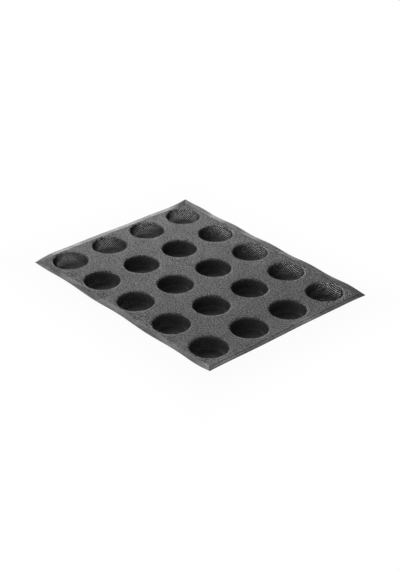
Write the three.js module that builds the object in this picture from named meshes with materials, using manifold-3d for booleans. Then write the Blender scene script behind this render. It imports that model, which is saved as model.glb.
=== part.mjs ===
// A flexible baking mould: an open-mesh silicone sheet with a grid of round cups pressed into it.
// The sheet hangs between the cups, its loose edge droops or curls, and a smooth hem wraps that edge.
// A plain grid of openings stands for the fine mesh, whose threads are about 2 mm apart.
// Units are millimetres and degrees. X runs along the long side, Y along the short side, Z is up,
// and the origin is on the surface that the cups stand on, under the middle of the sheet.
import * as THREE from 'three';
import { mergeGeometries, mergeVertices } from 'three/addons/utils/BufferGeometryUtils.js';
import Module from 'manifold-3d';

const wasm = await Module();
wasm.setup();

// Sheet
const SHEET_LENGTH = 400;
const SHEET_WIDTH = 300;
const SHEET_THICKNESS = 0.8;
const CLEARANCE = 0.3;

// Cups
const CUPS_ALONG = 5;
const CUPS_ACROSS = 4;
const PITCH_ALONG = 79.4;
const PITCH_ACROSS = 74.4;
const GRID_OFF_CENTRE = -2.6;
const MOUTH_DIAMETER = 54.4;
const CUP_DEPTH = 18;
const CUP_DRAFT = 10;
const LIP_FILLET = 2;
const FLOOR_FILLET = 3.8;

// Openings: the share of the strip between two cups, and of the grid's spacing in a cup, that one takes,
// the places of the deck's outermost ones beyond the outer cups, as a share of the cups' spacing, the
// share of a cup floor's radius from one opening to the next, and how deep a cup wall is cut
const DECK_OPENING_SHARE = 0.65;
const CUP_OPENING_SHARE = 0.5;
const OUTER_OPENINGS = 0.25;
const FLOOR_GRID_SHARE = 0.7;
const WALL_CUT = 8;

// Hem
const HEM_WIDTH = 8;
const HEM_WIDTH_RIGHT = 10.5;
const HEM_CHEEK = 0.4;
const HEM_SLOT_CLEARANCE = 0.2;
const HEM_NOSE = 1.2;
const HEM_EDGE_CHAMFER = 0.4;

// How far the loose edge stands above (+) or below (-) the flat deck: from start to end of each side,
// with a ripple whose lowest point is given along the side from its middle
const CORNER_LIFT = { frontLeft: -5.5, frontRight: 1.3, backLeft: 4.3, backRight: -0.3 };
const CORNER_REACH = 45;
const EDGE_LIFT = {
  front: { start: -4.4, end: -1.6, ripple: 1.1, rippleLength: 124, lowest: -56 },
  back: { start: 3.0, end: 1.8, ripple: 0.9, rippleLength: 84, lowest: -38 },
  left: { start: 0.2, end: 0.8, ripple: 0.3, rippleLength: 110, lowest: 20 },
  right: { start: 1.5, end: 1.9, ripple: 0.4, rippleLength: 170, lowest: -60 },
};

// Facets: steps round a cup, a whole number of them to each side of its cell, and steps in each curve
const STEPS_PER_SIDE = 4;
const STEPS_ROUND = 4 * STEPS_PER_SIDE;
const LIP_STEPS = 2;
const LIP_STEPS_UNDER = 1;
const FILLET_STEPS = 2;
const LOOSE_DECK_RINGS = [0, 0.6, 1];
const FLAT_DECK_RINGS = [0, 1];

// Heights and radii that follow from the sizes above
const DECK_TOP = SHEET_THICKNESS + CUP_DEPTH;
const DECK_MIDDLE = DECK_TOP - SHEET_THICKNESS / 2;
const DRAFT = THREE.MathUtils.degToRad(CUP_DRAFT);
const TANGENT_PER_RADIUS = Math.tan((Math.PI / 2 - DRAFT) / 2);
const MOUTH_RADIUS = MOUTH_DIAMETER / 2;
const LIP_RADIUS = MOUTH_RADIUS + LIP_FILLET * TANGENT_PER_RADIUS;
const FOOT_RADIUS = MOUTH_RADIUS - CUP_DEPTH * Math.tan(DRAFT);
const FLOOR_RADIUS = FOOT_RADIUS - FLOOR_FILLET * TANGENT_PER_RADIUS;
const HOLE_RADIUS = LIP_RADIUS + CLEARANCE;
const WALL_TOP = DECK_TOP - LIP_FILLET * (1 - Math.sin(DRAFT));
const WALL_FOOT = SHEET_THICKNESS + FLOOR_FILLET * (1 - Math.sin(DRAFT));

// The outline of the sheet, moved in by a given amount on every side, and the outline inside the hem
function sheetOutline(inset) {
  return {
    left: -SHEET_LENGTH / 2 + inset,
    right: SHEET_LENGTH / 2 - inset,
    front: -SHEET_WIDTH / 2 + inset,
    back: SHEET_WIDTH / 2 - inset,
  };
}
const SIDES = ['front', 'back', 'left', 'right'];
const SHEET_EDGE = sheetOutline(0);
const HEM_LINE = { ...sheetOutline(HEM_WIDTH), right: SHEET_EDGE.right - HEM_WIDTH_RIGHT };
const SLOT_END = sheetOutline(HEM_NOSE);
const TONGUE_END = sheetOutline(HEM_NOSE + CLEARANCE);

const cupX = (column) => GRID_OFF_CENTRE + (column - (CUPS_ALONG - 1) / 2) * PITCH_ALONG;
const cupY = (row) => (row - (CUPS_ACROSS - 1) / 2) * PITCH_ACROSS;

// The rectangle of sheet that belongs to one cup: half-way to its neighbours, or out to the given outline
function cellOf(row, column, outline) {
  return {
    left: column === 0 ? outline.left : cupX(column) - PITCH_ALONG / 2,
    right: column === CUPS_ALONG - 1 ? outline.right : cupX(column) + PITCH_ALONG / 2,
    front: row === 0 ? outline.front : cupY(row) - PITCH_ACROSS / 2,
    back: row === CUPS_ACROSS - 1 ? outline.back : cupY(row) + PITCH_ACROSS / 2,
  };
}

// The height of the loose edge, at a point along one side, over the flat deck
function edgeHeight(side, along, halfLength, startCorner, endCorner) {
  const lift = EDGE_LIFT[side];
  const turn = (2 * Math.PI * (along - lift.lowest)) / lift.rippleLength;
  const slope = THREE.MathUtils.lerp(lift.start, lift.end, (along + halfLength) / (2 * halfLength));
  const height = slope - lift.ripple * Math.cos(turn);
  const nearStart = Math.max(0, 1 - (along + halfLength) / CORNER_REACH) ** 2;
  const nearEnd = Math.max(0, 1 - (halfLength - along) / CORNER_REACH) ** 2;
  return height + nearStart * (startCorner - height) + nearEnd * (endCorner - height);
}

// The height on the border of a cup's cell: that of the nearest edge, fading out towards the outer cups
function borderHeight(x, y) {
  const { frontLeft, frontRight, backLeft, backRight } = CORNER_LIFT;
  const halfLength = SHEET_LENGTH / 2;
  const halfWidth = SHEET_WIDTH / 2;
  const sides = [
    {
      away: y - SHEET_EDGE.front,
      reach: cupY(0) - SHEET_EDGE.front,
      height: () => edgeHeight('front', x, halfLength, frontLeft, frontRight),
    },
    {
      away: SHEET_EDGE.back - y,
      reach: SHEET_EDGE.back - cupY(CUPS_ACROSS - 1),
      height: () => edgeHeight('back', x, halfLength, backLeft, backRight),
    },
    {
      away: x - SHEET_EDGE.left,
      reach: cupX(0) - SHEET_EDGE.left,
      height: () => edgeHeight('left', y, halfWidth, frontLeft, backLeft),
    },
    {
      away: SHEET_EDGE.right - x,
      reach: SHEET_EDGE.right - cupX(CUPS_ALONG - 1),
      height: () => edgeHeight('right', y, halfWidth, frontRight, backRight),
    },
  ];
  const nearest = sides.reduce((best, side) => (side.away < best.away ? side : best));
  return nearest.height() * Math.max(0, 1 - nearest.away / nearest.reach) ** 2;
}

// How far the sheet stands above or below the flat deck: nothing at a cup's lip, growing towards the edge
function sheetLift(x, y) {
  const column = THREE.MathUtils.clamp(Math.round((x - cupX(0)) / PITCH_ALONG), 0, CUPS_ALONG - 1);
  const row = THREE.MathUtils.clamp(Math.round((y - cupY(0)) / PITCH_ACROSS), 0, CUPS_ACROSS - 1);
  const cell = cellOf(row, column, SHEET_EDGE);
  const dx = x - cupX(column);
  const dy = y - cupY(row);
  const radius = Math.hypot(dx, dy);
  if (radius <= HOLE_RADIUS) return 0;
  const shareX = dx / ((dx > 0 ? cell.right : cell.left) - cupX(column));
  const shareY = dy / ((dy > 0 ? cell.back : cell.front) - cupY(row));
  const share = Math.max(shareX, shareY);
  const way = (radius - HOLE_RADIUS) / (radius / share - HOLE_RADIUS);
  return borderHeight(cupX(column) + dx / share, cupY(row) + dy / share) * way ** 2;
}

function meshGeometry(vertices, faces) {
  const geometry = new THREE.BufferGeometry();
  geometry.setAttribute('position', new THREE.Float32BufferAttribute(vertices.flat(), 3));
  geometry.setIndex(faces.flat());
  geometry.computeVertexNormals();
  return geometry;
}

function solidOf(geometry) {
  const bare = geometry.clone();
  bare.deleteAttribute('normal');
  bare.deleteAttribute('uv');
  const merged = mergeVertices(bare);
  const corners = Array.from(merged.index.array);
  const triVerts = [];
  for (let first = 0; first < corners.length; first += 3) {
    const triangle = corners.slice(first, first + 3);
    if (new Set(triangle).size === 3) triVerts.push(...triangle);
  }
  const vertProperties = merged.attributes.position.array;
  return new wasm.Manifold(new wasm.Mesh({ numProp: 3, vertProperties, triVerts: Uint32Array.from(triVerts) }));
}

// A sheet with openings cut through it where the given boxes stand, none of which touch
function cutOpenings(sheet, boxes) {
  const { vertProperties, triVerts } = solidOf(sheet).subtract(solidOf(mergeGeometries(boxes))).getMesh();
  const geometry = new THREE.BufferGeometry();
  geometry.setAttribute('position', new THREE.BufferAttribute(vertProperties, 3));
  geometry.setIndex(new THREE.BufferAttribute(triVerts, 1));
  geometry.computeVertexNormals();
  return geometry;
}

// The points round a rectangle, from its back right corner and turning left, with equal steps on each side
function pointsRound({ left, right, front, back }) {
  const corners = [[right, back], [left, back], [left, front], [right, front]];
  return corners.flatMap(([x, y], side) => {
    const [nextX, nextY] = corners[(side + 1) % 4];
    return Array.from({ length: STEPS_PER_SIDE }, (_, step) => {
      const share = step / STEPS_PER_SIDE;
      return [THREE.MathUtils.lerp(x, nextX, share), THREE.MathUtils.lerp(y, nextY, share)];
    });
  });
}

// One cup, of one sheet's thickness: a drafted wall, a filleted floor and a lip that flares out into the deck
function cupGeometry() {
  const lipCentre = [LIP_RADIUS, DECK_TOP - LIP_FILLET];
  const floorCentre = [FLOOR_RADIUS, SHEET_THICKNESS + FLOOR_FILLET];
  const curve = ([r, z], radius, steps, direction) =>
    Array.from({ length: steps + 1 }, (_, step) => {
      const angle = (step / steps) * (Math.PI / 2 - DRAFT);
      const [across, up] = direction(angle);
      return new THREE.Vector2(r + radius * across, z + radius * up);
    });
  const lip = (angle) => [-Math.sin(angle), Math.cos(angle)];
  const fillet = (angle) => [Math.cos(DRAFT + angle), -Math.sin(DRAFT + angle)];
  const inside = [
    ...curve(lipCentre, LIP_FILLET, LIP_STEPS, lip),
    ...curve(floorCentre, FLOOR_FILLET, FILLET_STEPS, fillet),
    new THREE.Vector2(0, SHEET_THICKNESS),
  ];
  const outside = [
    ...curve(lipCentre, LIP_FILLET - SHEET_THICKNESS, LIP_STEPS_UNDER, lip),
    ...curve(floorCentre, FLOOR_FILLET + SHEET_THICKNESS, FILLET_STEPS, fillet),
    new THREE.Vector2(0, 0),
  ];
  const profile = [...outside.reverse(), ...inside];
  return new THREE.LatheGeometry(profile, STEPS_ROUND, Math.PI / 4).rotateX(Math.PI / 2);
}

// The openings in a cup: two by two in its floor, and one in every second facet of its wall
function cupOpenings() {
  const pitch = FLOOR_GRID_SHARE * FLOOR_RADIUS;
  const size = CUP_OPENING_SHARE * pitch;
  const places = [-pitch / 2, pitch / 2];
  const inFloor = places.flatMap((x) =>
    places.map((y) => new THREE.BoxGeometry(size, size, 4 * SHEET_THICKNESS).translate(x, y, SHEET_THICKNESS / 2)),
  );
  const middle = (WALL_TOP + WALL_FOOT) / 2;
  const radius = MOUTH_RADIUS - (DECK_TOP - middle) * Math.tan(DRAFT);
  const width = CUP_OPENING_SHARE * 2 * radius * Math.sin(Math.PI / STEPS_ROUND);
  const height = CUP_OPENING_SHARE * (WALL_TOP - WALL_FOOT);
  const inWall = Array.from({ length: STEPS_ROUND / 2 }, (_, index) => {
    const angle = Math.PI / 4 + ((2 * index + 0.5) / STEPS_ROUND) * 2 * Math.PI;
    return new THREE.BoxGeometry(WALL_CUT, width, height).translate(radius, 0, middle).rotateZ(angle);
  });
  return [...inFloor, ...inWall];
}

// The openings in the deck: a grid at half the cups' spacing, with one more line of them beyond the outer
// cups on each side, wherever there is no cup
function deckOpenings() {
  const length = DECK_OPENING_SHARE * (PITCH_ALONG - 2 * HOLE_RADIUS);
  const width = DECK_OPENING_SHARE * (PITCH_ACROSS - 2 * HOLE_RADIUS);
  const lines = (cups) => {
    const inner = Array.from({ length: 2 * cups - 1 }, (_, index) => index / 2);
    return [-OUTER_OPENINGS, ...inner, cups - 1 + OUTER_OPENINGS];
  };
  const fromCup = (line) => Math.abs(line - Math.round(line));
  const boxes = [];
  for (const row of lines(CUPS_ACROSS)) {
    for (const column of lines(CUPS_ALONG)) {
      if (Math.hypot(fromCup(column) * PITCH_ALONG, fromCup(row) * PITCH_ACROSS) < HOLE_RADIUS) continue;
      const box = new THREE.BoxGeometry(length, width, CUP_DEPTH);
      boxes.push(box.translate(cupX(column), cupY(row), DECK_MIDDLE));
    }
  }
  return boxes;
}

// The places along one side of the hem, as functions that give the point on any outline there
function hemStations(side) {
  const alongX = side === 'front' || side === 'back';
  const cells = alongX ? CUPS_ALONG : CUPS_ACROSS;
  const places = [];
  for (let cell = 0; cell < cells; cell += 1) {
    const { left, right, front, back } = alongX ? cellOf(0, cell, HEM_LINE) : cellOf(cell, 0, HEM_LINE);
    const [from, to] = alongX ? [left, right] : [front, back];
    for (let step = cell === 0 ? 0 : 1; step <= STEPS_PER_SIDE; step += 1) {
      places.push(THREE.MathUtils.lerp(from, to, step / STEPS_PER_SIDE));
    }
  }
  const [startSide, endSide] = alongX ? ['left', 'right'] : ['front', 'back'];
  return places.map((place, index) => (outline) => {
    const corner = index === 0 ? outline[startSide] : index === places.length - 1 ? outline[endSide] : place;
    return alongX ? [corner, outline[side]] : [outline[side], corner];
  });
}

// Whether a side's stations run anticlockwise round the sheet
const TURNS_LEFT = { front: true, right: true, back: false, left: false };

// The height of the sheet's middle inside the hem, which stays straight from the hem's inner line to the edge
function heightInHem(station, outline) {
  const [innerX, innerY] = station(HEM_LINE);
  const [edgeX, edgeY] = station(SHEET_EDGE);
  const [x, y] = station(outline);
  const share = Math.hypot(x - innerX, y - innerY) / Math.hypot(edgeX - innerX, edgeY - innerY);
  return DECK_MIDDLE + THREE.MathUtils.lerp(sheetLift(innerX, innerY), sheetLift(edgeX, edgeY), share);
}

// The deck: the sheet between the cups, with a round hole for each, and a tongue all round that the hem wraps
function deckGeometry() {
  const vertices = [];
  const faces = [];
  const known = new Map();
  // The pair of vertices, under and over, at a point of the sheet
  const pair = (x, y, middle) => {
    const key = `${x.toFixed(4)} ${y.toFixed(4)}`;
    if (!known.has(key)) {
      known.set(key, vertices.length);
      vertices.push([x, y, middle - SHEET_THICKNESS / 2], [x, y, middle + SHEET_THICKNESS / 2]);
    }
    return known.get(key);
  };
  const plate = (a, b, c, d) => {
    faces.push([a + 1, b + 1, c + 1], [a + 1, c + 1, d + 1], [a, c, b], [a, d, c]);
  };
  const wall = (a, b) => faces.push([a, b, b + 1], [a, b + 1, a + 1]);

  for (let row = 0; row < CUPS_ACROSS; row += 1) {
    for (let column = 0; column < CUPS_ALONG; column += 1) {
      const loose = row % (CUPS_ACROSS - 1) === 0 || column % (CUPS_ALONG - 1) === 0;
      const border = pointsRound(cellOf(row, column, HEM_LINE));
      const rings = (loose ? LOOSE_DECK_RINGS : FLAT_DECK_RINGS).map((share) =>
        border.map(([borderX, borderY], step) => {
          const angle = Math.PI / 4 + (step / STEPS_ROUND) * 2 * Math.PI;
          const x = THREE.MathUtils.lerp(cupX(column) + HOLE_RADIUS * Math.cos(angle), borderX, share);
          const y = THREE.MathUtils.lerp(cupY(row) + HOLE_RADIUS * Math.sin(angle), borderY, share);
          return pair(x, y, DECK_MIDDLE + sheetLift(x, y));
        }),
      );
      for (let step = 0; step < STEPS_ROUND; step += 1) {
        const next = (step + 1) % STEPS_ROUND;
        wall(rings[0][next], rings[0][step]);
        for (let ring = 1; ring < rings.length; ring += 1) {
          plate(rings[ring - 1][step], rings[ring][step], rings[ring][next], rings[ring - 1][next]);
        }
      }
    }
  }

  for (const side of SIDES) {
    const strip = hemStations(side).map((station) => [
      pair(...station(HEM_LINE), heightInHem(station, HEM_LINE)),
      pair(...station(TONGUE_END), heightInHem(station, TONGUE_END)),
    ]);
    for (let step = 1; step < strip.length; step += 1) {
      const [inner, outer] = strip[step - 1];
      const [nextInner, nextOuter] = strip[step];
      if (TURNS_LEFT[side]) {
        plate(inner, outer, nextOuter, nextInner);
        wall(outer, nextOuter);
      } else {
        plate(inner, nextInner, nextOuter, outer);
        wall(nextOuter, outer);
      }
    }
  }
  return meshGeometry(vertices, faces);
}

// One side of the hem: a strip folded over the sheet's edge, mitred where it meets the next side
function hemGeometry(side) {
  const slot = SHEET_THICKNESS / 2 + HEM_SLOT_CLEARANCE;
  const face = slot + HEM_CHEEK;
  const chamfer = sheetOutline(HEM_EDGE_CHAMFER);
  const section = [
    [HEM_LINE, face],
    [HEM_LINE, slot],
    [SLOT_END, slot],
    [SLOT_END, -slot],
    [HEM_LINE, -slot],
    [HEM_LINE, -face],
    [chamfer, -face],
    [SHEET_EDGE, HEM_EDGE_CHAMFER - face],
    [SHEET_EDGE, face - HEM_EDGE_CHAMFER],
    [chamfer, face],
  ];
  const stations = hemStations(side);
  const last = stations.length - 1;
  const alongX = side === 'front' || side === 'back';
  const mitreGap = CLEARANCE / Math.SQRT2;
  const vertices = stations.flatMap((station, index) => {
    const shift = index === 0 ? mitreGap : index === last ? -mitreGap : 0;
    return section.map(([outline, height]) => {
      const [x, y] = station(outline);
      const z = heightInHem(station, outline) + height;
      return alongX ? [x + shift, y, z] : [x, y + shift, z];
    });
  });

  // Each quad of the strip is split from its inner line to its outer line, as the tongue's are
  const size = section.length;
  const faces = [];
  for (let index = 0; index < last; index += 1) {
    for (let corner = 0; corner < size; corner += 1) {
      const a = index * size + corner;
      const b = index * size + ((corner + 1) % size);
      const inwards = section[corner][0] !== HEM_LINE && section[(corner + 1) % size][0] === HEM_LINE;
      if (inwards) faces.push([a, b, a + size], [b, b + size, a + size]);
      else faces.push([a, b, b + size], [a, b + size, a + size]);
    }
  }
  const outlineOf = (outline) => Math.abs(stations[1](outline)[alongX ? 1 : 0]);
  const cap = THREE.ShapeUtils.triangulateShape(
    section.map(([outline, height]) => new THREE.Vector2(outlineOf(outline), height)),
    [],
  );
  for (const [a, b, c] of cap) {
    faces.push([a, c, b], [last * size + a, last * size + b, last * size + c]);
  }
  const turned = TURNS_LEFT[side] ? faces.map(([a, b, c]) => [a, c, b]) : faces;
  return meshGeometry(vertices, turned);
}

const meshSilicone = new THREE.MeshStandardMaterial({ color: 0x4b4b4b, roughness: 0.62, metalness: 0 });
const cupSilicone = new THREE.MeshStandardMaterial({ color: 0x3a3a3a, roughness: 0.6, metalness: 0 });
const smoothSilicone = new THREE.MeshStandardMaterial({ color: 0x606060, roughness: 0.48, metalness: 0 });

function named(name, geometry, material) {
  const mesh = new THREE.Mesh(geometry, material);
  mesh.name = name;
  return mesh;
}

const mould = new THREE.Group();
const openCup = cutOpenings(cupGeometry(), cupOpenings());
mould.add(named('deck_sheet', cutOpenings(deckGeometry(), deckOpenings()), meshSilicone));
for (let row = 0; row < CUPS_ACROSS; row += 1) {
  for (let column = 0; column < CUPS_ALONG; column += 1) {
    const cup = named(`cup_r${row + 1}_c${column + 1}`, openCup, cupSilicone);
    cup.position.set(cupX(column), cupY(row), 0);
    mould.add(cup);
  }
}
for (const side of SIDES) {
  mould.add(named(`hem_${side}`, hemGeometry(side), smoothSilicone));
}

export default mould;
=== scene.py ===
# %% [markdown]
# # An open-mesh silicone baking mould
#
# The real mould begins as a flat open mesh, coated with black silicone. A press draws twenty round cups
# into it, and a smooth strip is folded over the cut edge and sealed there. This lesson goes the same way.
# It says how the sheet lies and how the press bends it, opens the holes of the mesh, mixes the silicone,
# presses the pieces, folds the hem and sets the light. Everything is in metres, in the frame of the
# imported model, so nothing has to be moved into place afterwards.

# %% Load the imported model
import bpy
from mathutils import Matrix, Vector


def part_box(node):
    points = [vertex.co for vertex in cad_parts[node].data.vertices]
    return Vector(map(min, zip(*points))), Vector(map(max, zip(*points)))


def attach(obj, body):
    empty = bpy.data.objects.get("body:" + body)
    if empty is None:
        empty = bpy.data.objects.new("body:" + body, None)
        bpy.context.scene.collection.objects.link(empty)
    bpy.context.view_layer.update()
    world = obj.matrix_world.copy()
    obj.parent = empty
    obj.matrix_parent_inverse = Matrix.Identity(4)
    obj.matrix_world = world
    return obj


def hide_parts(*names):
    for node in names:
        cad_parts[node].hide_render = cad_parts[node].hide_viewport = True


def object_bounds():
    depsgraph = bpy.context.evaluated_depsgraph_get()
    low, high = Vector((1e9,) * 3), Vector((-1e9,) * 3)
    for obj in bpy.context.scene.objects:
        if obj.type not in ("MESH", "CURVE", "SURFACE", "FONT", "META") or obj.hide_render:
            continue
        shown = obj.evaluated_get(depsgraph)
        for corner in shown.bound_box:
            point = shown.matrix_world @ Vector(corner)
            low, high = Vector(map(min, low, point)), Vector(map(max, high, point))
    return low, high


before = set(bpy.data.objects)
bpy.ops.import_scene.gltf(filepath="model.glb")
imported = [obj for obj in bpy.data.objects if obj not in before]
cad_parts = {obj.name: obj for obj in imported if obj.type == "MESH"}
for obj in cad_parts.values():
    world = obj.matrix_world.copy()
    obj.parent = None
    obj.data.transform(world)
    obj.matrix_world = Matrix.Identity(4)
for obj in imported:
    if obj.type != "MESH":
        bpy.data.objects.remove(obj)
cad_box = [list(corner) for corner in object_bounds()]
print("nodes:", len(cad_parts), "box:", cad_box)

# %% Measure the cups and the sheet
import math

import bmesh
import bpy
import numpy as np

MM = 0.001
MICRON = MM * MM
MIDDLE = 0.5
ROWS = 4
COLUMNS = 5


def cup_name(row, column):
    return f"cup_r{row + 1}_c{column + 1}"


def middle_of(node):
    low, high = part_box(node)
    return (low + high) / 2


CUP_X = np.array([middle_of(cup_name(0, column)).x for column in range(COLUMNS)])
CUP_Y = np.array([middle_of(cup_name(row, 0)).y for row in range(ROWS)])
PITCH_X = CUP_X[1] - CUP_X[0]
PITCH_Y = CUP_Y[1] - CUP_Y[0]
HALF_LENGTH = cad_box[1][0]
HALF_WIDTH = cad_box[1][1]
DECK_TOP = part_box(cup_name(0, 0))[1].z
SHEET_THICKNESS = 0.8 * MM
DECK_MIDDLE = DECK_TOP - SHEET_THICKNESS / 2
CUP_DRAFT = math.radians(10)
WALL_TILT = math.pi / 2 - CUP_DRAFT
MOUTH_RADIUS = 26.8 * MM
LIP_FILLET = 3.2 * MM
FLOOR_FILLET = 3.8 * MM
LIP_RADIUS = MOUTH_RADIUS + LIP_FILLET * math.tan(WALL_TILT / 2)
print("cups", PITCH_X / MM, "by", PITCH_Y / MM, "mm apart, deck at", DECK_TOP / MM, "mm")

# %% [markdown]
# ## The camera
#
# The mould is seen from its front right corner, from above. The camera's place and lens were worked out
# from the rims of the cups, which are circles of one size in one plane, so their ellipses give the angle,
# the distance and the lens.

# %% Place the camera
PHOTO_SIZE = (400, 570)
FOCAL_PIXELS = 1248
SENSOR = 36
CAMERA_PLACE = (1212.97 * MM, -1047.26 * MM, 937.52 * MM)
CAMERA_AZIMUTH = math.radians(48.98)
CAMERA_ELEVATION = math.radians(30.23)

lens = bpy.data.cameras.new("photo_camera")
lens.sensor_width = SENSOR
lens.lens = FOCAL_PIXELS * SENSOR / max(PHOTO_SIZE)
camera = bpy.data.objects.new("photo_camera", lens)
camera.location = CAMERA_PLACE
camera.rotation_euler = (math.pi / 2 - CAMERA_ELEVATION, 0, CAMERA_AZIMUTH)
bpy.context.scene.collection.objects.link(camera)
bpy.context.scene.camera = camera
print("lens", round(lens.lens, 2), "mm")

# %% [markdown]
# ## How the sheet lies
#
# The cups stand on the table and hold the sheet flat between them. Past the outer cups it is free: the
# near left corner droops, the far left corner curls up and the edges ripple. One function gives that lift
# at any point. It is the rule that shapes the solids, with one thing more: the free strips at the back,
# left and right are bowed by a fraction of a millimetre, which shows in the light on them.

# %% The loose edge
LONG_SIDES = ("front", "back")
CORNER_REACH = 45 * MM
CORNER_LIFT = {
    "front_left": -5.5 * MM,
    "front_right": 1.3 * MM,
    "back_left": 4.3 * MM,
    "back_right": -0.3 * MM,
}
SIDE_CORNERS = {
    "front": ("front_left", "front_right"),
    "back": ("back_left", "back_right"),
    "left": ("front_left", "back_left"),
    "right": ("front_right", "back_right"),
}
EDGE_LIFT_MM = {
    "front": {"start": -4.4, "end": -1.6, "ripple": 1.1, "length": 124, "lowest": -56},
    "back": {"start": 3.0, "end": 1.8, "ripple": 0.9, "length": 84, "lowest": -38},
    "left": {"start": 0.2, "end": 0.8, "ripple": 0.3, "length": 110, "lowest": 20},
    "right": {"start": 1.5, "end": 1.9, "ripple": 0.4, "length": 170, "lowest": -60},
}


def half_along(side):
    """Half the length of one side of the sheet."""
    return HALF_LENGTH if side in LONG_SIDES else HALF_WIDTH


def edge_height(side, along):
    """The height of the loose edge over the flat deck, at places along one side from its middle."""
    lift = {name: size * MM for name, size in EDGE_LIFT_MM[side].items()}
    half = half_along(side)
    slope = lift["start"] + (lift["end"] - lift["start"]) * (along + half) / (2 * half)
    height = slope - lift["ripple"] * np.cos(2 * np.pi * (along - lift["lowest"]) / lift["length"])
    first, last = (CORNER_LIFT[corner] for corner in SIDE_CORNERS[side])
    near_first = np.clip(1 - (along + half) / CORNER_REACH, 0, 1) ** 2
    near_last = np.clip(1 - (half - along) / CORNER_REACH, 0, 1) ** 2
    return height + near_first * (first - height) + near_last * (last - height)


for side in SIDE_CORNERS:
    along = half_along(side) * np.array([-1, 0, 1])
    print(side, np.round(edge_height(side, along) / MM, 1), "mm at its start, middle and end")

# %% The strip between the outer cups and the edge
EDGE_BOW = {"front": 0.0, "back": 0.3 * MM, "left": -0.4 * MM, "right": 0.35 * MM}
CUP_TO_EDGE = {
    "front": HALF_WIDTH + CUP_Y[0],
    "back": HALF_WIDTH - CUP_Y[-1],
    "left": HALF_LENGTH + CUP_X[0],
    "right": HALF_LENGTH - CUP_X[-1],
}


def border_height(x, y):
    """The height and bow on the border of a cup's cell: those of the nearest edge, less near the cups."""
    away = np.stack([HALF_WIDTH + y, HALF_WIDTH - y, HALF_LENGTH + x, HALF_LENGTH - x])
    reach = np.array(list(CUP_TO_EDGE.values()))
    heights = np.stack([edge_height(side, x if side in LONG_SIDES else y) for side in CUP_TO_EDGE])
    bows = np.array([EDGE_BOW[side] for side in CUP_TO_EDGE])
    nearest = away.argmin(axis=0)
    each = np.arange(len(x))
    fade = np.clip(1 - away[nearest, each] / reach[nearest], 0, 1) ** 2
    return heights[nearest, each] * fade, bows[nearest] * fade


print("cup to edge:", {side: round(size / MM, 1) for side, size in CUP_TO_EDGE.items()}, "mm")

# %% The lift anywhere on the sheet
CLEARANCE = 0.3 * MM
HOLE_RADIUS = LIP_RADIUS + CLEARANCE
LEAST_SHARE = 0.001
LEAST_WAY = 1 * MM
ARCH = 4


def nearest_cup(x, y):
    column = np.clip(np.rint((x - CUP_X[0]) / PITCH_X), 0, COLUMNS - 1).astype(int)
    row = np.clip(np.rint((y - CUP_Y[0]) / PITCH_Y), 0, ROWS - 1).astype(int)
    return row, column


def sheet_lift(x, y):
    """How far the sheet stands over the flat deck: nothing at a cup's lip, and more towards the edge."""
    row, column = nearest_cup(x, y)
    dx = x - CUP_X[column]
    dy = y - CUP_Y[row]
    to_right = np.where(column == COLUMNS - 1, CUP_TO_EDGE["right"], PITCH_X / 2)
    to_left = np.where(column == 0, CUP_TO_EDGE["left"], PITCH_X / 2)
    to_back = np.where(row == ROWS - 1, CUP_TO_EDGE["back"], PITCH_Y / 2)
    to_front = np.where(row == 0, CUP_TO_EDGE["front"], PITCH_Y / 2)
    share_x = np.abs(dx) / np.where(dx > 0, to_right, to_left)
    share_y = np.abs(dy) / np.where(dy > 0, to_back, to_front)
    share = np.maximum(np.maximum(share_x, share_y), LEAST_SHARE)
    radius = np.maximum(np.hypot(dx, dy), HOLE_RADIUS)
    way = (radius - HOLE_RADIUS) / np.maximum(radius / share - HOLE_RADIUS, LEAST_WAY)
    height, bow = border_height(CUP_X[column] + dx / share, CUP_Y[row] + dy / share)
    # way * (1 - way) is an arch with a height of a quarter, so four of it make the whole bow
    return height * way**2 + ARCH * bow * way * (1 - way)


corner_x = HALF_LENGTH * np.array([-1, 1, 1, -1])
corner_y = HALF_WIDTH * np.array([-1, -1, 1, 1])
print("lift at the corners:", np.round(sheet_lift(corner_x, corner_y) / MM, 2), "mm")

# %% [markdown]
# ## The press
#
# A cup is a flat floor, a round fillet, a wall with some draft and a lip that rolls out into the deck.
# The press does not cut the mesh, it stretches it: a ring of the flat sheet slides down along that
# profile. So the press is a function from the flat sheet to the finished one. A straight thread then dips
# into the cup and comes out on the other side, which gives the curved lines on the walls. The wall is
# stretched more than the floor, as in any deep-drawn sheet.

# %% The profile of a cup
LIP_BEND = LIP_FILLET - SHEET_THICKNESS / 2
FLOOR_BEND = FLOOR_FILLET + SHEET_THICKNESS / 2
LIP_LEVEL = DECK_TOP - LIP_FILLET
FLOOR_LEVEL = SHEET_THICKNESS + FLOOR_FILLET
FOOT_RADIUS = MOUTH_RADIUS - (DECK_TOP - SHEET_THICKNESS) * math.tan(CUP_DRAFT)
FLOOR_RADIUS = FOOT_RADIUS - FLOOR_FILLET * math.tan(WALL_TILT / 2)
WALL_FOOT = np.array([
    FLOOR_RADIUS + FLOOR_BEND * math.sin(WALL_TILT),
    FLOOR_LEVEL - FLOOR_BEND * math.cos(WALL_TILT),
])
WALL_HEAD = np.array([
    LIP_RADIUS - LIP_BEND * math.sin(WALL_TILT),
    LIP_LEVEL + LIP_BEND * math.cos(WALL_TILT),
])
WALL_LENGTH = np.hypot(*(WALL_HEAD - WALL_FOOT))
FILLET_END = FLOOR_RADIUS + FLOOR_BEND * WALL_TILT
WALL_END = FILLET_END + WALL_LENGTH
PROFILE_LENGTH = WALL_END + LIP_BEND * WALL_TILT


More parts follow.
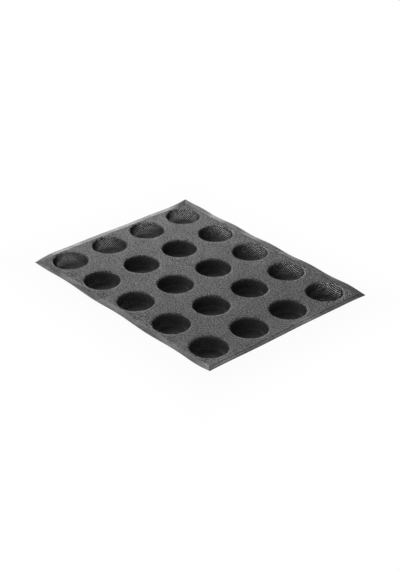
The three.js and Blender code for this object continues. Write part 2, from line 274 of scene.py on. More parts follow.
def cup_profile(arc):
    """Radius, height and tilt of the sheet's middle, at a length along it from the middle of the floor."""
    in_fillet = arc > FLOOR_RADIUS
    in_wall = arc > FILLET_END
    in_lip = arc > WALL_END
    tilt = np.clip((arc - FLOOR_RADIUS) / FLOOR_BEND, 0, WALL_TILT)
    tilt = np.where(in_lip, WALL_TILT - (arc - WALL_END) / LIP_BEND, tilt)
    up_wall = np.clip((arc - FILLET_END) / WALL_LENGTH, 0, 1)
    radius = np.where(in_fillet, FLOOR_RADIUS + FLOOR_BEND * np.sin(tilt), arc)
    radius = np.where(in_wall, WALL_FOOT[0] + up_wall * (WALL_HEAD[0] - WALL_FOOT[0]), radius)
    radius = np.where(in_lip, LIP_RADIUS - LIP_BEND * np.sin(tilt), radius)
    height = FLOOR_LEVEL - FLOOR_BEND * np.cos(tilt)
    height = np.where(in_wall, WALL_FOOT[1] + up_wall * (WALL_HEAD[1] - WALL_FOOT[1]), height)
    height = np.where(in_lip, LIP_LEVEL + LIP_BEND * np.cos(tilt), height)
    return radius, height, tilt


drawn = np.round(np.array([LIP_RADIUS, PROFILE_LENGTH]) / MM, 1)
print("the press draws", drawn[0], "mm of sheet out to", drawn[1], "mm")

# %% From the flat sheet to the pressed one
FLOOR_STRETCH = 0.87
STRETCH_POWER = 3
SLOPE_STEP = 0.2 * MM


def press(flat):
    """Where points of the flat sheet go. Each has x, y and a height over the middle of the sheet."""
    x, y, height = flat.T
    row, column = nearest_cup(x, y)
    dx = x - CUP_X[column]
    dy = y - CUP_Y[row]
    radius = np.maximum(np.hypot(dx, dy), MICRON)
    share = np.minimum(radius / LIP_RADIUS, 1)
    arc = PROFILE_LENGTH * (FLOOR_STRETCH * share + (1 - FLOOR_STRETCH) * share**STRETCH_POWER)
    across, level, tilt = cup_profile(arc)
    out = across - height * np.sin(tilt)
    in_cup = np.column_stack([
        CUP_X[column] + out * dx / radius,
        CUP_Y[row] + out * dy / radius,
        level + height * np.cos(tilt),
    ])
    lift = sheet_lift(x, y)
    slope_x = (sheet_lift(x + SLOPE_STEP, y) - lift) / SLOPE_STEP
    slope_y = (sheet_lift(x, y + SLOPE_STEP) - lift) / SLOPE_STEP
    on_deck = np.column_stack([
        x - height * slope_x,
        y - height * slope_y,
        DECK_MIDDLE + lift + height,
    ])
    return np.where((radius < LIP_RADIUS)[:, None], in_cup, on_deck)


first_middle = np.array([[CUP_X[0], CUP_Y[0], 0.0]])
print("the middle of the first cup goes to", np.round(press(first_middle)[0] / MM, 2), "mm")

# %% [markdown]
# ## The open mesh
#
# The holes repeat more than thirty thousand times, so Geometry Nodes make them. Each face of a flat grid
# gets a smaller copy of itself, and the copy is deleted, which leaves a frame of four threads. The grid
# line is the ridge of a thread and stands higher than the rim of the hole, so that the threads look
# round. The threads along the sheet stand proud, and those across it dip between the crossings: that is
# why lines along the sheet show on the cup walls. Towards the lip of a cup the coating is thicker, so the
# holes grow smaller there. Real threads are never quite even: a little white noise, from the place and a
# fixed seed, moves the crossings and changes the holes.

# %% Helpers for node trees


def add(tree, kind, inputs=None, **settings):
    """A node with its settings, and its inputs by name or number: a value, or a socket to link."""
    node = tree.nodes.new(kind)
    for name, value in settings.items():
        setattr(node, name, value)
    for name, value in (inputs or {}).items():
        named = [socket for socket in node.inputs if socket.enabled and socket.name == name]
        socket = named[0] if named else node.inputs[name]
        if isinstance(value, bpy.types.NodeSocket):
            tree.links.new(value, socket)
        else:
            socket.default_value = value
    return node


def maths(tree, operation, first, second):
    """The result of a sum with two numbers."""
    return add(tree, "ShaderNodeMath", {0: first, 1: second}, operation=operation).outputs[0]


def vectors(tree, operation, first, second):
    """The node of a sum with two vectors."""
    return add(tree, "ShaderNodeVectorMath", {0: first, 1: second}, operation=operation)


# %% The sizes of the threads and holes
OPEN_MESH = {
    "Hole Width": 0.30,
    "Hole Stretch": 1.9,
    "Hole Spread": 0.22,
    "Lip Closing": 0.0,
    "Ridge Height": SHEET_THICKNESS / 2,
    "Dip Height": 0.30 * MM,
    "Rim Height": 0.26 * MM,
    "Jitter": 0.18 * MM,
    "Unevenness": 0.16 * MM,
    "Seed": 7.0,
}
CUP_MESH = {
    **OPEN_MESH,
    "Hole Width": 0.345,
    "Hole Spread": 0.16,
    "Lip Closing": 0.17,
    "Dip Height": 0.12 * MM,
    "Rim Height": 0.22 * MM,
}
print("the cups differ in:", [name for name in OPEN_MESH if CUP_MESH[name] != OPEN_MESH[name]])

# %% Nodes that move the crossings and cut the holes


def stored(tree, name):
    """A number that each point of the mesh carries."""
    return add(tree, "GeometryNodeInputNamedAttribute", {"Name": name}, data_type="FLOAT").outputs[0]


def moved_crossings(tree, given):
    """The grid with its crossings moved a little, and a noise from the same place for the holes."""
    place = add(tree, "GeometryNodeInputPosition").outputs[0]
    noise = add(tree, "ShaderNodeTexWhiteNoise", {
        "Vector": place,
        "W": given["Seed"],
    }, noise_dimensions="4D")
    centred = vectors(tree, "SUBTRACT", noise.outputs["Color"], (MIDDLE, MIDDLE, MIDDLE))
    amount = add(tree, "ShaderNodeCombineXYZ", {
        "X": given["Jitter"],
        "Y": given["Jitter"],
        "Z": given["Unevenness"],
    })
    offset = vectors(tree, "MULTIPLY", centred.outputs[0], amount.outputs[0])
    grid = add(tree, "GeometryNodeSetPosition", {
        "Geometry": given["Geometry"],
        "Offset": offset.outputs[0],
    })
    return grid.outputs[0], noise.outputs["Value"]


def hole_copies(tree, given, grid, noise):
    """The grid with a smaller copy of each face in it, each of its own size, and a mark on the copies."""
    copies = add(tree, "GeometryNodeExtrudeMesh", {
        "Mesh": grid,
        "Offset Scale": 0.0,
        "Individual": True,
    }, mode="FACES")
    spread = maths(tree, "MULTIPLY", maths(tree, "SUBTRACT", noise, MIDDLE), given["Hole Spread"])
    closing = maths(tree, "MULTIPLY", stored(tree, "coat"), given["Lip Closing"])
    width = maths(tree, "SUBTRACT", given["Hole Width"], closing)
    shrunk = add(tree, "GeometryNodeScaleElements", {
        "Geometry": copies.outputs["Mesh"],
        "Selection": copies.outputs["Top"],
        "Scale": maths(tree, "ADD", width, spread),
    }, domain="FACE")
    longer = add(tree, "GeometryNodeScaleElements", {
        "Geometry": shrunk.outputs[0],
        "Selection": copies.outputs["Top"],
        "Scale": given["Hole Stretch"],
        "Axis": (1, 0, 0),
    }, domain="FACE", scale_mode="SINGLE_AXIS")
    return longer.outputs[0], copies.outputs["Top"]


# %% Nodes that shape the threads


def stores(tree, mesh, name, value):
    """The mesh with one more number on each point."""
    return add(tree, "GeometryNodeStoreNamedAttribute", {
        "Geometry": mesh,
        "Name": name,
        "Value": value,
    }, data_type="FLOAT", domain="POINT").outputs[0]


def open_threads(tree, given, mesh, in_hole):
    """The threads without the holes. Each point knows half its thickness, and if it is on a ridge."""
    crossing = stored(tree, "crossing")
    crest = add(tree, "ShaderNodeMix", {
        "Factor": crossing,
        "A": given["Dip Height"],
        "B": given["Ridge Height"],
    }, data_type="FLOAT")
    half = add(tree, "GeometryNodeSwitch", {
        "Switch": in_hole,
        "False": crest.outputs[0],
        "True": given["Rim Height"],
    }, input_type="FLOAT")
    ridge = maths(tree, "MULTIPLY", crossing, maths(tree, "SUBTRACT", 1.0, in_hole))
    marked = stores(tree, stores(tree, mesh, "half", half.outputs[0]), "ridge", ridge)
    return add(tree, "GeometryNodeDeleteGeometry", {
        "Geometry": marked,
        "Selection": in_hole,
    }, domain="FACE", mode="ALL").outputs[0]


def lifted(tree, mesh, times, chosen=True):
    """The mesh with its chosen points raised by so many times half the thickness there."""
    height = maths(tree, "MULTIPLY", stored(tree, "half"), times)
    return add(tree, "GeometryNodeSetPosition", {
        "Geometry": mesh,
        "Selection": chosen,
        "Offset": add(tree, "ShaderNodeCombineXYZ", {"Z": height}).outputs[0],
    }).outputs[0]


def closed_threads(tree, threads):
    """An upper side with walls at its open edges, and a lower side that closes it."""
    neighbours = add(tree, "GeometryNodeInputMeshEdgeNeighbors")
    is_open = add(tree, "FunctionNodeCompare", {
        "A": neighbours.outputs["Face Count"],
        "B": 1,
    }, data_type="INT", operation="EQUAL")
    walled = add(tree, "GeometryNodeExtrudeMesh", {
        "Mesh": lifted(tree, threads, 1.0),
        "Selection": is_open.outputs[0],
        "Offset Scale": 0.0,
    }, mode="EDGES")
    upper = lifted(tree, walled.outputs["Mesh"], -2.0, walled.outputs["Top"])
    lower = add(tree, "GeometryNodeFlipFaces", {"Mesh": lifted(tree, threads, -1.0)}).outputs[0]
    joined = add(tree, "GeometryNodeJoinGeometry")
    tree.links.new(upper, joined.inputs[0])
    tree.links.new(lower, joined.inputs[0])
    return add(tree, "GeometryNodeMergeByDistance", {
        "Geometry": joined.outputs[0],
        "Distance": MICRON,
    }).outputs[0]


# %% The whole tree


def open_mesh_tree():
    """A modifier that turns a flat grid into a flat open mesh with round threads."""
    tree = bpy.data.node_groups.new("open_mesh", "GeometryNodeTree")
    tree.is_modifier = True
    tree.interface.new_socket("Geometry", in_out="INPUT", socket_type="NodeSocketGeometry")
    for name, value in OPEN_MESH.items():
        socket = tree.interface.new_socket(name, in_out="INPUT", socket_type="NodeSocketFloat")
        socket.default_value = value
    tree.interface.new_socket("Silicone", in_out="INPUT", socket_type="NodeSocketMaterial")
    tree.interface.new_socket("Geometry", in_out="OUTPUT", socket_type="NodeSocketGeometry")
    given = add(tree, "NodeGroupInput").outputs
    grid, noise = moved_crossings(tree, given)
    copies, in_hole = hole_copies(tree, given, grid, noise)
    closed = closed_threads(tree, open_threads(tree, given, copies, in_hole))
    smooth = add(tree, "GeometryNodeSetShadeSmooth", {"Geometry": closed})
    real = add(tree, "GeometryNodeRealizeInstances", {"Geometry": smooth.outputs[0]})
    coated = add(tree, "GeometryNodeSetMaterial", {
        "Geometry": real.outputs[0],
        "Material": given["Silicone"],
    })
    add(tree, "NodeGroupOutput", {"Geometry": coated.outputs[0]})
    return tree


open_mesh = open_mesh_tree()
print("open mesh tree:", len(open_mesh.nodes), "nodes")

# %% [markdown]
# ## The silicone
#
# The mould is black all over, yet the deck looks grey: at this low angle its uneven threads mirror the
# pale room, softly. A fine grain from black to dark grey stands for what is too small to model. In the
# cups the colour holds painted shade: it is blacker, with painted highlights on the ridges, and a little
# less painted shade on the floors than on the walls.
# The lips are worn smooth, so that they catch a thin line of light. The hem has no holes, and is smoother
# and more even. One node group gives the grain to the mesh and to the hem, each with its own sizes.

# %% The grain that all the silicone shares
NOISE_DETAIL = {"Grain": 2.0, "Mottle": 1.0}
NOISE_LOW = 0.40
NOISE_HIGH = 0.60


def silicone_grain_group():
    """A node group: fine grain and broad mottle from Object coordinates, each from 0 to 1."""
    tree = bpy.data.node_groups.new("silicone_grain", "ShaderNodeTree")
    for name in NOISE_DETAIL:
        tree.interface.new_socket(f"{name} Size", in_out="INPUT", socket_type="NodeSocketFloat")
    for name in NOISE_DETAIL:
        tree.interface.new_socket(name, in_out="OUTPUT", socket_type="NodeSocketFloat")
    given = add(tree, "NodeGroupInput").outputs
    place = add(tree, "ShaderNodeTexCoord").outputs["Object"]
    results = {}
    for name, detail in NOISE_DETAIL.items():
        scale = maths(tree, "DIVIDE", 1.0, given[f"{name} Size"])
        noise = add(tree, "ShaderNodeTexNoise", {"Vector": place, "Scale": scale, "Detail": detail})
        results[name] = add(tree, "ShaderNodeMapRange", {
            "Value": noise.outputs[0],
            "From Min": NOISE_LOW,
            "From Max": NOISE_HIGH,
        }).outputs[0]
    add(tree, "NodeGroupOutput", results)
    return tree


silicone_grain = silicone_grain_group()
print("silicone grain:", len(silicone_grain.nodes), "nodes")

# %% The painted shade in the cups, their painted highlights and their polish
# Painted shade: the walls and floors of the cups get darker greys than the deck, the floors a little
# lighter than the walls, and the ridges of the threads lighter greys as painted highlights.
WALL_SHADE_AND_GLINT_GREYS = (0.0, 0.05)
FLOOR_SHADE_AND_GLINT_GREYS = (0.01, 0.068)
LIP_POLISH = 1.5
CUP_POLISH = 0.15


def blend(tree, factor, first, second):
    """A colour between two colours."""
    mixed = add(tree, "ShaderNodeMix", {"Factor": factor, "A": first, "B": second}, data_type="RGBA")
    return [socket for socket in mixed.outputs if socket.enabled][0]


def greys(tree, factor, dark, light):
    """A grey between two levels."""
    return blend(tree, factor, (dark, dark, dark, 1), (light, light, light, 1))


def carried(tree, name):
    """A number that each point of the piece carries, for a material."""
    return add(tree, "ShaderNodeAttribute", attribute_name=name).outputs["Fac"]


def painted_shade_and_polish_in_cups(tree, colour, roughness):
    """A colour with painted shade inside the cups, a little less of it on their floors and painted
    highlights on the ridges there, and a roughness that is lower inside the cups and on their lips.
    """
    ridge = carried(tree, "ridge")
    inside = carried(tree, "inside")
    wall_shade_and_glint = greys(tree, ridge, *WALL_SHADE_AND_GLINT_GREYS)
    floor_shade_and_glint = greys(tree, ridge, *FLOOR_SHADE_AND_GLINT_GREYS)
    cup_shade_and_glint = blend(tree, carried(tree, "floor"), wall_shade_and_glint, floor_shade_and_glint)
    lip = maths(tree, "MULTIPLY", inside, maths(tree, "SUBTRACT", 1.0, inside))
    on_lip = maths(tree, "MULTIPLY", lip, LIP_POLISH)
    polish = maths(tree, "ADD", on_lip, maths(tree, "MULTIPLY", inside, CUP_POLISH))
    # The deck's colour turns into the painted shade of the cups over the lip.
    return blend(tree, inside, colour, cup_shade_and_glint), maths(tree, "SUBTRACT", roughness, polish)


print("cups go from", WALL_SHADE_AND_GLINT_GREYS, "on the walls to", FLOOR_SHADE_AND_GLINT_GREYS, "on the floors")

# %% One silicone, in two finishes
SILICONE_IOR = 1.41
MESH_FINISH = {
    "dark": 0.0,
    "light": 0.18,
    "smooth": 0.50,
    "rough": 0.60,
    "grain": 2.1 * MM,
    "mottle": 18 * MM,
    "relief": 0.30 * MM,
}
HEM_FINISH = {
    "dark": 0.065,
    "light": 0.105,
    "smooth": 0.26,
    "rough": 0.32,
    "grain": 3.2 * MM,
    "mottle": 25 * MM,
    "relief": 0.05 * MM,
}


def silicone(name, finish, has_cups):
    """A black silicone. The grain takes its colour from dark to light, the mottle its roughness."""
    material = bpy.data.materials.new(name)
    material.use_nodes = True
    tree = material.node_tree
    grain = add(tree, "ShaderNodeGroup", {
        "Grain Size": finish["grain"],
        "Mottle Size": finish["mottle"],
    }, node_tree=silicone_grain)
    colour = greys(tree, grain.outputs["Grain"], finish["dark"], finish["light"])
    roughness = add(tree, "ShaderNodeMapRange", {
        "Value": grain.outputs["Mottle"],
        "To Min": finish["smooth"],
        "To Max": finish["rough"],
    }).outputs[0]
    if has_cups:
        colour, roughness = painted_shade_and_polish_in_cups(tree, colour, roughness)
    bump = add(tree, "ShaderNodeBump", {
        "Height": grain.outputs["Grain"],
        "Distance": finish["relief"],
    })
    shader = tree.nodes["Principled BSDF"]
    shader.inputs["IOR"].default_value = SILICONE_IOR
    tree.links.new(colour, shader.inputs["Base Color"])
    tree.links.new(roughness, shader.inputs["Roughness"])
    tree.links.new(bump.outputs[0], shader.inputs["Normal"])
    return material


mesh_silicone = silicone("mesh_silicone", MESH_FINISH, has_cups=True)
hem_silicone = silicone("hem_silicone", HEM_FINISH, has_cups=False)
print("materials:", [material.name for material in (mesh_silicone, hem_silicone)])

# %% [markdown]
# ## Sheet and cups
#
# The whole sheet is one grid, cut into pieces named after the parts of the model. A cell of the grid
# belongs to a cup where its middle lies inside that cup's lip, and otherwise to the deck, which is kept
# in four quarters so that no mesh grows too heavy. Neighbours share their crossings to the last digit, so
# the pieces meet without a gap.

# %% Share out the cells of the grid
THREAD_PITCH = 1.9 * MM
TUCKED_IN = 6 * MM
grid_size = np.array([HALF_LENGTH - TUCKED_IN, HALF_WIDTH - TUCKED_IN])
grid_count = np.rint(2 * grid_size / THREAD_PITCH).astype(int)
grid_start = -grid_count * THREAD_PITCH / 2
cells = np.stack(np.meshgrid(*map(np.arange, grid_count), indexing="ij"), axis=-1).reshape(-1, 2)
cell_x, cell_y = (grid_start + (cells + MIDDLE) * THREAD_PITCH).T
cell_row, cell_column = nearest_cup(cell_x, cell_y)
in_a_cup = np.hypot(cell_x - CUP_X[cell_column], cell_y - CUP_Y[cell_row]) < LIP_RADIUS
print(len(cells), "cells,", int(in_a_cup.sum()), "of them in cups")

# %% The flat grid of a piece
LIP_COAT = 7 * MM
CELL_OUTLINE = np.array([[0, 0], [1, 0], [1, MIDDLE], [1, 1], [0, 1], [0, MIDDLE]])


def add_attribute(mesh, name, values):
    mesh.attributes.new(name, "FLOAT", "POINT").data.foreach_set("value", values.astype(np.float32))


def lip_share(flat, reach):
    """1 from the lip of a cup outwards, falling to 0 at this reach inside it."""
    row, column = nearest_cup(flat[:, 0], flat[:, 1])
    radius = np.hypot(flat[:, 0] - CUP_X[column], flat[:, 1] - CUP_Y[row])
    return 1 - np.clip((LIP_RADIUS - radius) / reach, 0, 1)


def flat_grid(name, chosen):
    """A flat mesh with a face for each chosen cell: its crossings, and the middles of two threads."""
    corners = chosen[:, None, :] + CELL_OUTLINE
    points, index = np.unique(corners.reshape(-1, 2), axis=0, return_inverse=True)
    places = np.column_stack([grid_start + points * THREAD_PITCH, np.zeros(len(points))])
    mesh = bpy.data.meshes.new(name)
    mesh.from_pydata(places.tolist(), [], index.reshape(-1, len(CELL_OUTLINE)).tolist())
    add_attribute(mesh, "crossing", points[:, 1] % 1 == 0)
    add_attribute(mesh, "coat", lip_share(places, LIP_COAT))
    return mesh


print("a cell has", len(CELL_OUTLINE), "points")

# %% Open the holes, then press
# How far below the lip the painted shade of the cups fades in, and how far up the wall the floors' lighter
# painted grey reaches.
LIP_BLEND = 3 * MM
FLOOR_BLEND = 4 * MM


def floor_share(pressed):
    """1 on the floor of a cup, 0 from a little way up its wall."""
    return np.clip(1 - (pressed[:, 2] - SHEET_THICKNESS) / FLOOR_BLEND, 0, 1)


def open_holes(piece, sizes):
    """Put what the node tree makes of a flat piece in the place of its flat mesh."""
    holes = piece.modifiers.new("holes", "NODES")
    holes.node_group = open_mesh
    for socket in open_mesh.interface.items_tree:
        if socket.name in sizes:
            holes[socket.identifier] = sizes[socket.name]
        if socket.name == "Silicone":
            holes[socket.identifier] = mesh_silicone
    graph = bpy.context.evaluated_depsgraph_get()
    mesh = bpy.data.meshes.new_from_object(piece.evaluated_get(graph), depsgraph=graph)
    mesh.name = piece.name
    flat_mesh = piece.data
    piece.modifiers.remove(holes)
    piece.data = mesh
    bpy.data.meshes.remove(flat_mesh)


def pressed_piece(name, chosen, sizes):
    """A piece of open mesh, made flat by the node tree and then pressed."""
    piece = bpy.data.objects.new(name, flat_grid(f"{name}_flat", chosen))
    bpy.context.scene.collection.objects.link(piece)
    open_holes(piece, sizes)
    mesh = piece.data
    flat = np.empty(len(mesh.vertices) * 3, np.float32)
    mesh.vertices.foreach_get("co", flat)
    flat = flat.reshape(-1, 3).astype(float)
    pressed = press(flat)
    mesh.vertices.foreach_set("co", pressed.astype(np.float32).ravel())
    # The masks of the painted shade in the cups (inside) and of the lighter painted grey on their floors
    # (floor).
    add_attribute(mesh, "inside", 1 - lip_share(flat, LIP_BLEND))
    add_attribute(mesh, "floor", floor_share(pressed))
    mesh.update()
    mesh.calc_loop_triangles()
    return piece


mesh_pieces = {}
for row in range(ROWS):
    for column in range(COLUMNS):
        chosen = cells[in_a_cup & (cell_row == row) & (cell_column == column)]
        piece = pressed_piece(f"mesh_{cup_name(row, column)}", chosen, CUP_MESH)
        mesh_pieces[piece] = (cup_name(row, column), "cup_silicone")
middle_x = CUP_X[COLUMNS // 2]
for front_or_back, half_y in (("front", cell_y < 0), ("back", cell_y >= 0)):
    for left_or_right, half_x in (("left", cell_x < middle_x), ("right", cell_x >= middle_x)):
        chosen = cells[~in_a_cup & half_x & half_y]
        piece = pressed_piece(f"mesh_deck_{front_or_back}_{left_or_right}", chosen, OPEN_MESH)
        mesh_pieces[piece] = ("deck_sheet", "mesh_silicone")
triangles = [len(piece.data.loop_triangles) for piece in mesh_pieces]
print(len(mesh_pieces), "pieces,", sum(triangles), "triangles, at most", max(triangles), "in one")

# %% [markdown]
# ## The hem
#
# The hem is a smooth strip folded over the edge of the sheet. It is a loft: one rounded section, carried
# along each side on the line of the edge, and cut on the mitre at both ends. At the front it is a little
# puffed, highest near its middle. On every side its outer edge, a round nose, droops a little lower than
# the sheet would lie.

# %% The section of the hem
HEM_WIDTH = {"front": 8 * MM, "back": 8 * MM, "left": 8 * MM, "right": 10.5 * MM}
HEM_PUFF = {"front": 0.3 * MM, "back": 0.0, "left": 0.0, "right": 0.0}
HEM_DROOP = {"front": 0.2 * MM, "back": 0.4 * MM, "left": 0.5 * MM, "right": 1.2 * MM}
NOSE_RADIUS = 0.5 * MM
NOSE_STEPS = 6
PUFF_TURN = 0.9 * math.pi
PUFF_STEPS = 8


def hem_section(side):
    """Points round the hem's section: how far in from the sheet's edge, and how high over its middle."""
    width = HEM_WIDTH[side]
    nose = [
        (NOSE_RADIUS * (1 - math.sin(turn)), NOSE_RADIUS * math.cos(turn))
        for turn in np.linspace(0, math.pi, NOSE_STEPS + 1)
    ]
    lower = []
    for share in np.linspace(0, 1, PUFF_STEPS + 1)[1:]:
        puff = HEM_PUFF[side] * math.sin(share * PUFF_TURN)
        lower.append((NOSE_RADIUS + share * (width - NOSE_RADIUS), -NOSE_RADIUS - puff))
    upper = [(inset, -height) for inset, height in reversed(lower)]
    return [
        (inset, height - HEM_DROOP[side] * (1 - inset / width))
        for inset, height in nose + lower + upper
    ]


print("hem section:", len(hem_section("front")), "points")

# %% Carry the section along each side
HEM_STEP = 3 * MM
SHARP_ANGLE = math.radians(40)


def hem_point(side, share, inset):
    """Places in the plan of the sheet, at shares of the way along a side and so far in from its edge."""
    along_x = side in LONG_SIDES
    half = half_along(side)
    reach = (HALF_WIDTH if along_x else HALF_LENGTH) - inset
    ends = ("left", "right") if along_x else ("front", "back")
    starts = [inset * HEM_WIDTH[end] / HEM_WIDTH[side] for end in ends]
    along = -half + starts[0] + share * (2 * half - sum(starts))
    outward = np.full_like(along, reach if side in ("back", "right") else -reach)
    return (along, outward) if along_x else (outward, along)


def hem_mesh(side):
    """The loft of one side: a ring of points at each step, faces between the rings and one at each end."""
    width = HEM_WIDTH[side]
    section = hem_section(side)
    share = np.linspace(0, 1, round(2 * half_along(side) / HEM_STEP) + 1)
    edge = sheet_lift(*hem_point(side, share, 0.0))
    inner = sheet_lift(*hem_point(side, share, width))
    lines = []
    for inset, height in section:
        x, y = hem_point(side, share, inset)
        lines.append(np.column_stack([x, y, DECK_MIDDLE + edge + (inner - edge) * inset / width + height]))
    places = np.stack(lines, axis=1)
    count = len(section)
    faces = []
    for step in range(len(share) - 1):
        for corner in range(count):
            a = step * count + corner
            b = step * count + (corner + 1) % count
            faces.append((a, b, b + count, a + count))
    faces.append(tuple(range(count)))
    faces.append(tuple(range((len(share) - 1) * count, len(share) * count)))
    mesh = bpy.data.meshes.new(f"smooth_hem_{side}")
    mesh.from_pydata(places.reshape(-1, 3).tolist(), [], faces)
    return mesh


def hem_piece(side):
    """A hem with its faces turned out, smooth but for the crisp edges."""
    mesh = hem_mesh(side)
    work = bmesh.new()
    work.from_mesh(mesh)
    bmesh.ops.recalc_face_normals(work, faces=work.faces)
    work.to_mesh(mesh)
    work.free()
    mesh.shade_smooth()
    mesh.set_sharp_from_angle(angle=SHARP_ANGLE)
    mesh.materials.append(hem_silicone)
    piece = bpy.data.objects.new(mesh.name, mesh)
    bpy.context.scene.collection.objects.link(piece)
    return piece


hem_pieces = {hem_piece(side): (f"hem_{side}", "hem_silicone") for side in HEM_WIDTH}
print("hem pieces:", [piece.name for piece in hem_pieces])

# %% [markdown]
# ## Floor and light
#
# The mould lies on a white table in a pale room. A black, glossy thing shows mostly what it mirrors, so
# the room is the main light: bright walls on the camera's left, dim ones on its right and a dark ceiling.
# Three soft lamps add to it: a key lamp low behind the mould, a fill lamp on the left and an edge lamp
# high up between them. The floor has painted shade under the mould, a darker colour there, so that the
# light that comes up through the mesh is right, and it is plain white further out. The camera sees the
# room itself as plain white too.

# %% The floor
FLOOR_SIZE = 60.0
FLOOR_DROP = 0.2 * MM
# Painted shade: the floor's colour is darker under the mould, and fades out to its plain white over a
# short way.
FLOOR_PAINTED_SHADE = 0.2
FLOOR_WHITE = 0.5
FLOOR_ROUGHNESS = 0.9
FLOOR_SPECULAR = 0.2
PAINTED_SHADE_UNDER = {"left": -200 * MM, "right": 160 * MM, "front": -115 * MM, "back": 137 * MM}
PAINTED_SHADE_FADE = 30 * MM
WHITE_FADE = 20 * MM
WHITE_NEAR = 0.96
WHITE_FAR = 120 * MM


def seen_directly(tree):
    """1 for what the camera sees, also in a mirror or through glass."""
    path = add(tree, "ShaderNodeLightPath").outputs
    either = maths(tree, "MAXIMUM", path["Is Camera Ray"], path["Is Glossy Ray"])
    return maths(tree, "MAXIMUM", either, path["Is Transmission Ray"])


def past(tree, place, low, high):
    """How far a place lies past the nearer of two ends: negative between them."""
    below = maths(tree, "SUBTRACT", low, place)
    above = maths(tree, "SUBTRACT", place, high)
    return maths(tree, "MAXIMUM", below, above)


def floor_material():
    """A floor with painted shade, a darker colour, under the mould, and far from it plain white where it
    is seen.
    """
    material = bpy.data.materials.new("white_floor")
    material.use_nodes = True
    tree = material.node_tree
    place = add(tree, "ShaderNodeTexCoord").outputs["Object"]
    apart = add(tree, "ShaderNodeSeparateXYZ", {0: place}).outputs
    past_ends = past(tree, apart["X"], PAINTED_SHADE_UNDER["left"], PAINTED_SHADE_UNDER["right"])
    past_sides = past(tree, apart["Y"], PAINTED_SHADE_UNDER["front"], PAINTED_SHADE_UNDER["back"])
    away = maths(tree, "MAXIMUM", past_ends, past_sides)
    # Painted shade: how far a place lies under the mould, which darkens the floor's colour.
    under = add(tree, "ShaderNodeMapRange", {"Value": away, "From Min": -PAINTED_SHADE_FADE, "From Max": 0.0})
    near = add(tree, "ShaderNodeMapRange", {
        "Value": away,
        "From Max": WHITE_FADE,
        "To Max": WHITE_NEAR,
    }, interpolation_type="SMOOTHSTEP")
    far = add(tree, "ShaderNodeMapRange", {
        "Value": away,
        "From Min": WHITE_FADE,
        "From Max": WHITE_FAR,
        "To Max": 1 - WHITE_NEAR,
    })
    shader = tree.nodes["Principled BSDF"]
    shader.inputs["Roughness"].default_value = FLOOR_ROUGHNESS
    shader.inputs["Specular IOR Level"].default_value = FLOOR_SPECULAR
    # The floor's colour, with the painted shade under the mould.
    tree.links.new(greys(tree, under.outputs[0], FLOOR_PAINTED_SHADE, FLOOR_WHITE), shader.inputs["Base Color"])
    plain = add(tree, "ShaderNodeEmission", {"Strength": 1.0})
    whiteness = maths(tree, "ADD", near.outputs[0], far.outputs[0])
    share = maths(tree, "MULTIPLY", whiteness, seen_directly(tree))
    mixed = add(tree, "ShaderNodeMixShader", {0: share, 1: shader.outputs[0], 2: plain.outputs[0]})
    tree.links.new(mixed.outputs[0], tree.nodes["Material Output"].inputs["Surface"])
    return material


floor_corners = [
    (x * FLOOR_SIZE / 2, y * FLOOR_SIZE / 2, -FLOOR_DROP)
    for x, y in ((-1, -1), (1, -1), (1, 1), (-1, 1))
]
floor_mesh = bpy.data.meshes.new("floor")
floor_mesh.from_pydata(floor_corners, [], [(0, 1, 2, 3)])
floor_mesh.materials.append(floor_material())
floor = bpy.data.objects.new("floor", floor_mesh)
bpy.context.scene.collection.objects.link(floor)
print("floor:", FLOOR_SIZE, "m wide,", FLOOR_DROP / MM, "mm under the cups")

# %% The room
WALLS_END = math.radians(35)
CEILING_START = math.radians(62)
CEILING_STRENGTH = 0.13
BRIGHT_SIDE = math.radians(230)
DIM_SIDE_STRENGTH = 0.25
SIDE_CHANGE = 0.35
WHITE = (1, 1, 1, 1)

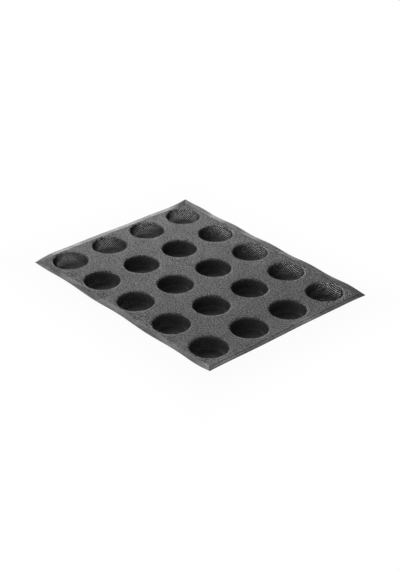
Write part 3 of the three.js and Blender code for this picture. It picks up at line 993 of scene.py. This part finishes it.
world = bpy.data.worlds.new("white_room")
bpy.context.scene.world = world
world.use_nodes = True
room = world.node_tree
outward = add(room, "ShaderNodeTexCoord").outputs["Generated"]
bright_side = (math.cos(BRIGHT_SIDE), math.sin(BRIGHT_SIDE), 0)
walls = add(room, "ShaderNodeMapRange", {
    "Value": vectors(room, "DOT_PRODUCT", outward, bright_side).outputs["Value"],
    "From Min": -SIDE_CHANGE,
    "From Max": SIDE_CHANGE,
    "To Min": DIM_SIDE_STRENGTH,
    "To Max": 1.0,
}, interpolation_type="SMOOTHSTEP")
level = add(room, "ShaderNodeMapRange", {
    "Value": add(room, "ShaderNodeSeparateXYZ", {0: outward}).outputs["Z"],
    "From Min": math.sin(WALLS_END),
    "From Max": math.sin(CEILING_START),
    "To Min": walls.outputs[0],
    "To Max": CEILING_STRENGTH,
}, interpolation_type="SMOOTHSTEP")
to_camera = add(room, "ShaderNodeLightPath").outputs["Is Camera Ray"]
backdrop = room.nodes["Background"]
backdrop.inputs["Color"].default_value = WHITE
room.links.new(maths(room, "MAXIMUM", level.outputs[0], to_camera), backdrop.inputs["Strength"])
print("room:", len(room.nodes), "nodes")

# %% The lamps, in degrees, metres and watts
LAMPS = {
    "key": {"turn": 143, "rise": 16, "away": 1.1, "size": 0.75, "power": 6.0},
    "fill": {"turn": 222, "rise": 30, "away": 1.6, "size": 0.6, "power": 8},
    "edge": {"turn": 172, "rise": 46, "away": 1.4, "size": 0.7, "power": 3.2},
}

for name, sizes in LAMPS.items():
    light = bpy.data.lights.new(f"{name}_lamp", "AREA")
    light.shape = "DISK"
    light.size = sizes["size"]
    light.energy = sizes["power"]
    lamp = bpy.data.objects.new(light.name, light)
    turn = math.radians(sizes["turn"])
    rise = math.radians(sizes["rise"])
    bearing = (math.cos(rise) * math.cos(turn), math.cos(rise) * math.sin(turn), math.sin(rise))
    lamp.location = [sizes["away"] * part for part in bearing]
    lamp.rotation_euler = (-lamp.location).to_track_quat("-Z", "Y").to_euler()
    bpy.context.scene.collection.objects.link(lamp)
    print(light.name, [round(part, 2) for part in lamp.location], "m,", light.energy, "W")
bpy.context.scene.view_settings.view_transform = "Standard"

# %% [markdown]
# ## The pieces on the body
#
# Each piece rides on the one body of the mould and stands for its solid.

# %% Ride and replace
for piece, (node, slot) in {**mesh_pieces, **hem_pieces}.items():
    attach(piece, "root")
    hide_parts(node)
